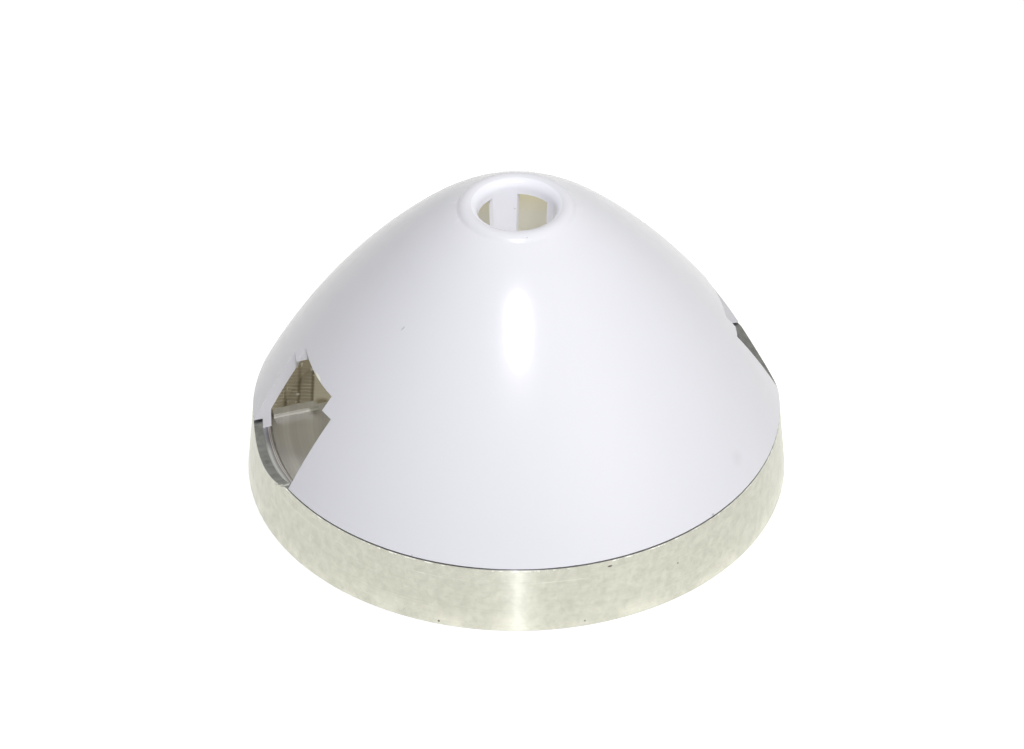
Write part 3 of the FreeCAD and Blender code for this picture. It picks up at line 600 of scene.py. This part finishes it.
# a bevelled chip at the top edge of a blade opening, painted brighter than the skin as a highlight
skin = mix_colour(tree, one_mark(tree, point, CHIP_WITH_HIGHLIGHT, softness=0.3), skin, CHIP_HIGHLIGHT_COLOUR)
inside_colour = mix_colour(tree, up_in_nose, INNER_COLOUR, INNER_NOSE_COLOUR)
colour = mix_colour(tree, inner_side, skin, inside_colour)

outer_glow = mix_colour(tree, round_bead, NO_GLOW, BEAD_GLOW)
outer_glow = mix_colour(tree, in_tube, outer_glow, TUBE_GLOW)
inner_glow = mix_colour(tree, up_in_nose, WALL_GLOW, NOSE_GLOW)
glow = mix_colour(tree, inner_side, outer_glow, inner_glow)

ripple = put(tree, "ShaderNodeTexNoise", {"Vector": point, "Scale": 45.0, "Detail": 2.0})
bump = put(tree, "ShaderNodeBump", {"Strength": 0.05, "Distance": 0.2 * MM, "Height": ripple.outputs[0]})
shader = put(tree, "ShaderNodeBsdfPrincipled", {
    "Base Color": colour, "Roughness": SKIN_ROUGHNESS, "IOR": 1.5, "Normal": bump.outputs[0],
    "Emission Color": glow, "Emission Strength": 1.0})
put(tree, "ShaderNodeOutputMaterial", {"Surface": shader.outputs[0]})
dress("spinner_cone", cone_material)


# ------------------------------------------------------------------ burrs
# Slivers of aluminium that the milling cutter turned over where the blade scallop runs out
# through the lip. They are pale, thin and still attached to the plate.
BURR_PLACES = (
    (-47.0, -8.9, 12.7), (-47.5, -9.2, 12.85), (-46.8, -8.5, 12.45), (-48.0, -8.6, 12.55),
    (-48.5, -7.2, 11.95))
BURR_RADIUS = 0.34 * MM
BURR_SHAPE = (1.3, 0.7, 0.4)
BURR_JAGGEDNESS = 0.09 * MM
FIRST_BURR_SEED = 3
BURR_COLOUR = (0.60, 0.62, 0.62, 1)
BURR_SHADE = (0.45, 0.44, 0.40, 1)

burrs = []
for seed, place in enumerate(BURR_PLACES, FIRST_BURR_SEED):
    bpy.ops.object.select_all(action="DESELECT")
    bpy.ops.mesh.primitive_ico_sphere_add(
        subdivisions=2, radius=BURR_RADIUS, location=[v * MM for v in place])
    bpy.ops.object.mode_set(mode="EDIT")
    bpy.ops.transform.resize(value=BURR_SHAPE)
    bpy.ops.transform.vertex_random(offset=BURR_JAGGEDNESS, seed=seed)
    bpy.ops.object.mode_set(mode="OBJECT")
    burrs.append(bpy.context.object)
for piece in burrs:
    piece.select_set(True)
bpy.context.view_layer.objects.active = burrs[0]
bpy.ops.object.join()
bpy.ops.object.transform_apply(location=True, rotation=True, scale=True)
burr = bpy.context.object
burr.name = "scallop_burrs"

burr_material, tree = new_material("bright_burr")
point = put(tree, "ShaderNodeTexCoord").outputs["Object"]
colour = mix_colour(tree, blotches(tree, point, scale=2200.0, softness=0.3), BURR_COLOUR, BURR_SHADE)
shader = put(tree, "ShaderNodeBsdfPrincipled", {"Base Color": colour, "Metallic": 0.6, "Roughness": 0.5})
put(tree, "ShaderNodeOutputMaterial", {"Surface": shader.outputs[0]})
burr.data.materials.append(burr_material)
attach(burr, "root")


# ------------------------------------------------------------------ screw and washer
# A zinc-plated M5 socket-head screw in the bottom of the tube, with a knurled head, a hex
# socket and a rolled thread, and the flat washer that it presses on the tube's floor.
screw_low, screw_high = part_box("retaining_screw")
HEAD_RADIUS = screw_high[0]
HEAD_TOP = screw_high[2]
HEAD_DEPTH = 5.0 * MM
HEAD_SIDES = 96
HEAD_ROUNDING = 0.3 * MM
AT_HEAD_TOP = HEAD_TOP - 0.1 * MM
KNURL_DEPTH = 0.16 * MM
SOCKET_ACROSS = 4.0 * MM
SOCKET_DEPTH = 3.0 * MM
SHANK_FOOT = screw_low[2]
SHANK_TOP = HEAD_TOP - HEAD_DEPTH + 0.5 * MM
SHANK_SIDES = 32
THREAD_RADIUS = 2.5 * MM
THREAD_DEPTH = 0.46 * MM
THREAD_PITCH = 0.8 * MM
THREAD_RUN_OUT = 1.2 * MM
THREAD_END = SHANK_TOP - 1.0 * MM
RINGS_PER_PITCH = 6
SMOOTH_BELOW = math.radians(35)


def round_bar(sides, bar_radius, foot, top):
    """A cylinder standing on the axis, with its place in its mesh."""
    bpy.ops.object.select_all(action="DESELECT")
    bpy.ops.mesh.primitive_cylinder_add(
        vertices=sides, radius=bar_radius, depth=top - foot, location=(0, 0, (top + foot) / 2))
    bpy.ops.object.transform_apply(location=True, rotation=True, scale=True)
    return bpy.context.object


# the head: every second line of its side is drawn in for the knurl, and its upper edge is
# rounded before the hex socket is cut
head = round_bar(HEAD_SIDES, HEAD_RADIUS, HEAD_TOP - HEAD_DEPTH, HEAD_TOP)
for vertex in head.data.vertices:
    if vertex.index // 2 % 2:
        vertex.co.x *= 1 - KNURL_DEPTH / HEAD_RADIUS
        vertex.co.y *= 1 - KNURL_DEPTH / HEAD_RADIUS
bpy.ops.object.mode_set(mode="EDIT")
bpy.ops.mesh.select_all(action="DESELECT")
bpy.ops.object.mode_set(mode="OBJECT")
for edge in head.data.edges:
    heights = [head.data.vertices[i].co.z for i in edge.vertices]
    edge.select = min(heights) > AT_HEAD_TOP
bpy.ops.object.mode_set(mode="EDIT")
bpy.ops.mesh.bevel(offset=HEAD_ROUNDING, segments=2)
bpy.ops.object.mode_set(mode="OBJECT")

bpy.ops.object.select_all(action="DESELECT")
bpy.ops.mesh.primitive_cylinder_add(
    vertices=6, radius=SOCKET_ACROSS / math.sqrt(3), depth=2 * SOCKET_DEPTH, location=(0, 0, HEAD_TOP))
socket_cutter = bpy.context.object
cut = head.modifiers.new("socket", "BOOLEAN")
cut.operation = "DIFFERENCE"
cut.object = socket_cutter
bpy.context.view_layer.objects.active = head
bpy.ops.object.modifier_apply(modifier=cut.name)
bpy.data.objects.remove(socket_cutter)

# the shank: its long edges are divided, and a formula then winds the thread, because no
# operator makes one that runs out into the plain ends
shank = round_bar(SHANK_SIDES, THREAD_RADIUS, SHANK_FOOT, SHANK_TOP)
bpy.ops.object.mode_set(mode="EDIT")
bpy.ops.mesh.select_mode(type="EDGE")
bpy.ops.mesh.select_all(action="DESELECT")
bpy.ops.object.mode_set(mode="OBJECT")
for edge in shank.data.edges:
    heights = [shank.data.vertices[i].co.z for i in edge.vertices]
    edge.select = max(heights) - min(heights) > MM
bpy.ops.object.mode_set(mode="EDIT")
bpy.ops.mesh.subdivide(number_cuts=round((SHANK_TOP - SHANK_FOOT) / THREAD_PITCH * RINGS_PER_PITCH))
bpy.ops.object.mode_set(mode="OBJECT")
for vertex in shank.data.vertices:
    turn = math.atan2(vertex.co.y, vertex.co.x) / (2 * math.pi)
    phase = ((vertex.co.z - SHANK_FOOT) / THREAD_PITCH - turn) % 1.0
    in_groove = abs(2 * phase - 1)
    from_foot = max(0.0, (vertex.co.z - SHANK_FOOT) / THREAD_RUN_OUT)
    from_end = max(0.0, (THREAD_END - vertex.co.z) / THREAD_RUN_OUT)
    drawn_in = 1 - THREAD_DEPTH * in_groove * min(1.0, from_foot, from_end) / THREAD_RADIUS
    vertex.co.x *= drawn_in
    vertex.co.y *= drawn_in

head.select_set(True)
shank.select_set(True)
bpy.context.view_layer.objects.active = head
bpy.ops.object.join()
screw = bpy.context.object
screw.name = "socket_head_screw"
bpy.ops.object.shade_smooth_by_angle(angle=SMOOTH_BELOW)

ZINC_COLOUR = (0.56, 0.56, 0.58, 1)
ZINC_DULL = (0.40, 0.40, 0.42, 1)

steel_material, tree = new_material("zinc_plated_steel")
point = put(tree, "ShaderNodeTexCoord").outputs["Object"]
dulled = blotches(tree, point, scale=400.0, softness=0.4)
colour = mix_colour(tree, dulled, ZINC_COLOUR, ZINC_DULL)
rough = put(tree, "ShaderNodeMapRange", {"Value": dulled, "To Min": 0.25, "To Max": 0.45})
shader = put(tree, "ShaderNodeBsdfPrincipled", {
    "Base Color": colour, "Metallic": 1.0, "Roughness": rough.outputs[0]})
put(tree, "ShaderNodeOutputMaterial", {"Surface": shader.outputs[0]})
screw.data.materials.clear()
screw.data.materials.append(steel_material)
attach(screw, "root")
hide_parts("retaining_screw")
dress("screw_washer", steel_material)
